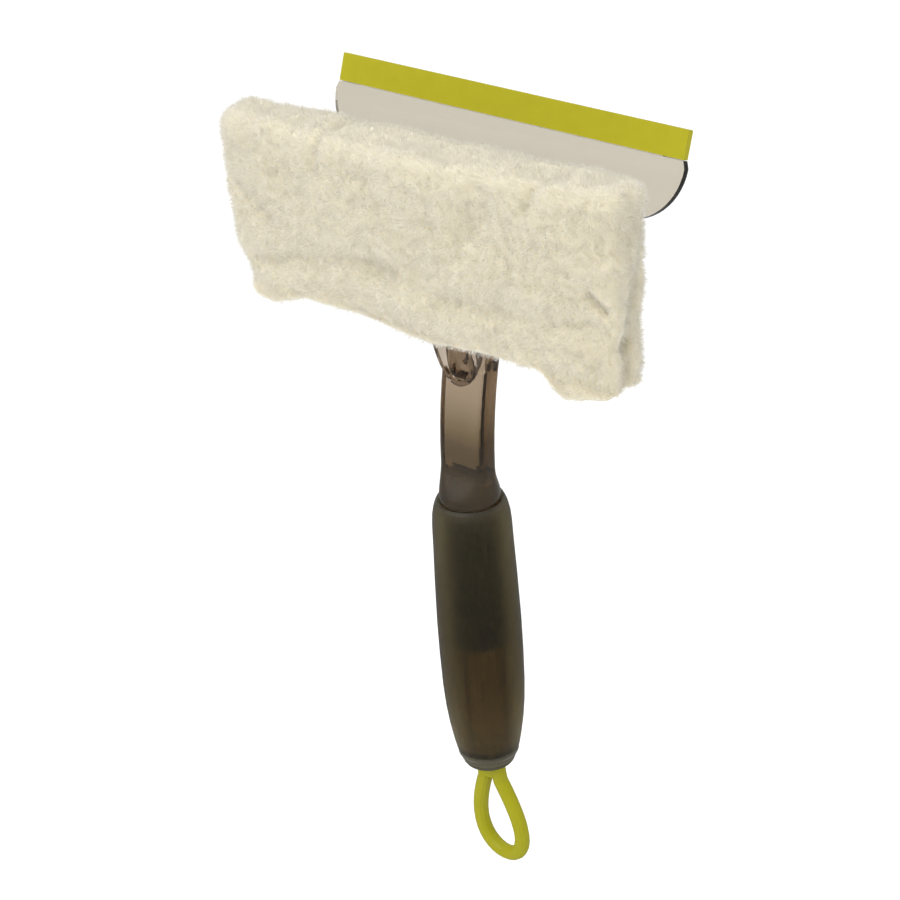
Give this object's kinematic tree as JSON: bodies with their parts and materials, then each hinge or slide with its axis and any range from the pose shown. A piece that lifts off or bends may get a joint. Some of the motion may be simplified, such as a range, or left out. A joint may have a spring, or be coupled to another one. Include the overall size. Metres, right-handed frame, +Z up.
{
  "type": "window squeegee with scrubber",
  "caption": "Hand-held window squeegee: rubber blade on a leaning plate, fleecy scrubber sleeve on a paddle, soft round grip and hanging loop.",
  "frame": {"origin": "centre of the flat underside of the grip's end plug, where the hand grip ends", "axes": "+Z up along the grip's axis towards the head, +X along the blade, the scrubber faces -Y and the blade's plate leans back to +Y"},
  "size_m": [0.2067, 0.0781, 0.3643],
  "materials": {
    "smoke_plastic": "smoke-tinted clear plastic, polished",
    "lime_rubber": "smooth satin silicone, lime green",
    "screw_steel": "plain steel",
    "foam": "open-cell foam",
    "microfibre": "cream fleece with a short curly pile",
    "grip_rubber": "frosted translucent soft rubber, dark olive",
    "core_plastic": "brown moulded plastic"
  },
  "bodies": {
    "handle": {"handle_frame": "smoke_plastic", "squeegee_blade": "lime_rubber", "blade_clamp": "smoke_plastic", "clamp_screw_1": "screw_steel", "clamp_screw_2": "screw_steel", "clamp_screw_3": "screw_steel", "scrubber_frame": "smoke_plastic", "arm_screw_1": "screw_steel", "arm_screw_2": "screw_steel", "foam_pad_front": "foam", "foam_pad_rear": "foam", "grip_sleeve": "grip_rubber", "grip_core": "core_plastic", "end_plug": "grip_rubber", "loop_pin": "screw_steel"},
    "sleeve": {"microfibre_sleeve": "microfibre"},
    "loop": {"hang_loop": "lime_rubber"}
  },
  "joints": [
    {"name": "sleeve_pull_off", "type": "slide", "parent": "handle", "child": "sleeve", "axis": [0, 0, 1], "range_m": [0, 0.09]},
    {"name": "loop_swing", "type": "hinge", "parent": "handle", "child": "loop", "pos_m": [0, 0, 0.0085], "axis": [0, 1, 0], "range_deg": [-6, 6]}
  ]
}
